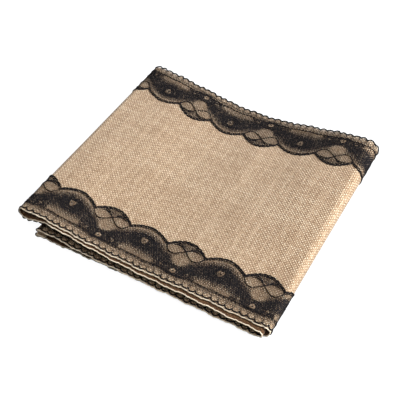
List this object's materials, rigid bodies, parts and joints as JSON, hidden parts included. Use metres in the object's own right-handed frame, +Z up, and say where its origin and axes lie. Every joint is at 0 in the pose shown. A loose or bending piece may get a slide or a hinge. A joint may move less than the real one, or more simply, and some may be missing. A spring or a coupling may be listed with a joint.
{
  "type": "table runner",
  "caption": "Folded natural jute table runner with a black scalloped lace trim sewn along each long edge and a stitched hem at each end.",
  "frame": {"origin": "centre of the folded bundle's footprint, at the height of the surface it lies on", "axes": "+X from the left fold to the right folds, +Y from the front edge to the rear edge, +Z up through the layers"},
  "size_m": [0.322, 0.308, 0.0334],
  "materials": {
    "jute": "natural tan plain-weave jute, matt and coarse",
    "lace": "black machine-made floral lace, matt",
    "black_thread": "black sewing thread",
    "tan_thread": "tan sewing thread"
  },
  "bodies": {
    "root": {"jute_cloth": "jute", "front_lace_trim": "lace", "rear_lace_trim": "lace", "front_lace_needle_thread": "black_thread", "front_lace_bobbin_thread": "black_thread", "rear_lace_needle_thread": "black_thread", "rear_lace_bobbin_thread": "black_thread", "lower_hem_needle_thread": "tan_thread", "lower_hem_bobbin_thread": "tan_thread", "upper_hem_needle_thread": "tan_thread", "upper_hem_bobbin_thread": "tan_thread"}
  },
  "joints": []
}
